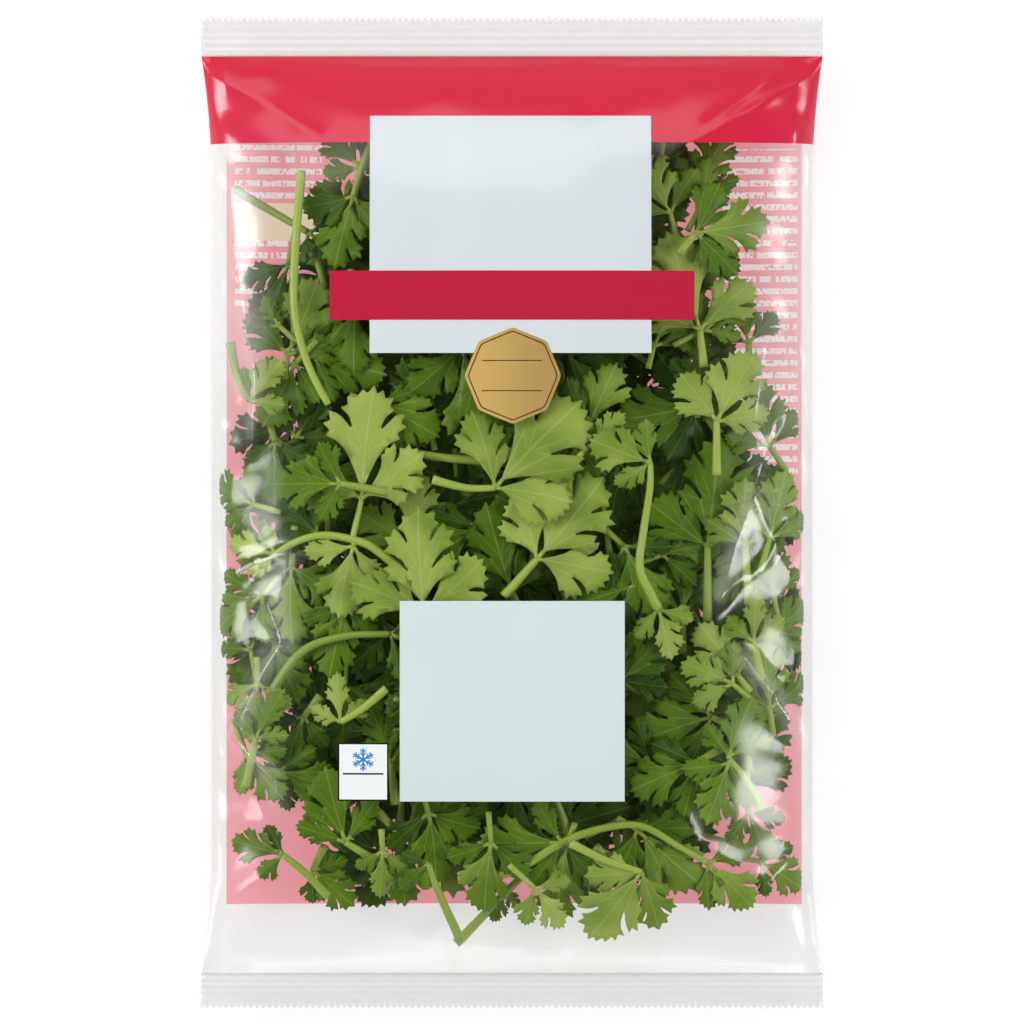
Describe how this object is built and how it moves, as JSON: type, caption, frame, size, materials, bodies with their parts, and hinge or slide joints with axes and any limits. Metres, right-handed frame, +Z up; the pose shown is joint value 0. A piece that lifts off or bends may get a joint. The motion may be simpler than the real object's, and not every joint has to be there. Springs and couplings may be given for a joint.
{
  "type": "bagged parsley bunch",
  "caption": "Clear printed pillow bag of cut flat-leaf parsley, crimp-sealed at both ends, lying flat on its back.",
  "frame": {"origin": "under the middle of the bag, on the surface that it lies on", "axes": "+X across the bag, +Y along it towards the seal above the printed band, +Z up, out of its printed front"},
  "size_m": [0.15, 0.239, 0.027],
  "materials": {
    "film": "thin clear glossy film, printed with a red band, pale panels and a translucent pink back",
    "parsley_0": "fresh satin leaf, bright green",
    "parsley_1": "fresh satin leaf, mid green",
    "parsley_2": "fresh satin leaf, dark green"
  },
  "bodies": {
    "root": {"bag_film": "film", "sprig_01": "parsley_0", "sprig_02": "parsley_1", "sprig_03": "parsley_0", "sprig_04": "parsley_0", "sprig_05": "parsley_0", "sprig_06": "parsley_1", "sprig_07": "parsley_1", "sprig_08": "parsley_0", "sprig_09": "parsley_0", "sprig_10": "parsley_1", "sprig_11": "parsley_1", "sprig_12": "parsley_2", "sprig_13": "parsley_0", "sprig_14": "parsley_0", "sprig_15": "parsley_0", "sprig_16": "parsley_2", "sprig_17": "parsley_0", "sprig_18": "parsley_2", "sprig_19": "parsley_2", "sprig_20": "parsley_2", "sprig_21": "parsley_0", "sprig_22": "parsley_1", "sprig_23": "parsley_0", "sprig_24": "parsley_0", "sprig_25": "parsley_1", "sprig_26": "parsley_2", "sprig_27": "parsley_2", "sprig_28": "parsley_2", "sprig_29": "parsley_2", "sprig_30": "parsley_2", "sprig_31": "parsley_2", "sprig_32": "parsley_2", "sprig_33": "parsley_2", "sprig_34": "parsley_2", "sprig_35": "parsley_2", "sprig_36": "parsley_2", "sprig_37": "parsley_2", "sprig_38": "parsley_1", "sprig_39": "parsley_1", "sprig_40": "parsley_2", "sprig_41": "parsley_2", "sprig_42": "parsley_1", "sprig_43": "parsley_2", "sprig_44": "parsley_0", "sprig_45": "parsley_1", "sprig_46": "parsley_2", "sprig_47": "parsley_2", "sprig_48": "parsley_2", "sprig_49": "parsley_2", "sprig_50": "parsley_1", "sprig_51": "parsley_2", "sprig_52": "parsley_0", "sprig_53": "parsley_0", "sprig_54": "parsley_1", "sprig_55": "parsley_0", "sprig_56": "parsley_2", "sprig_57": "parsley_1"}
  },
  "joints": []
}
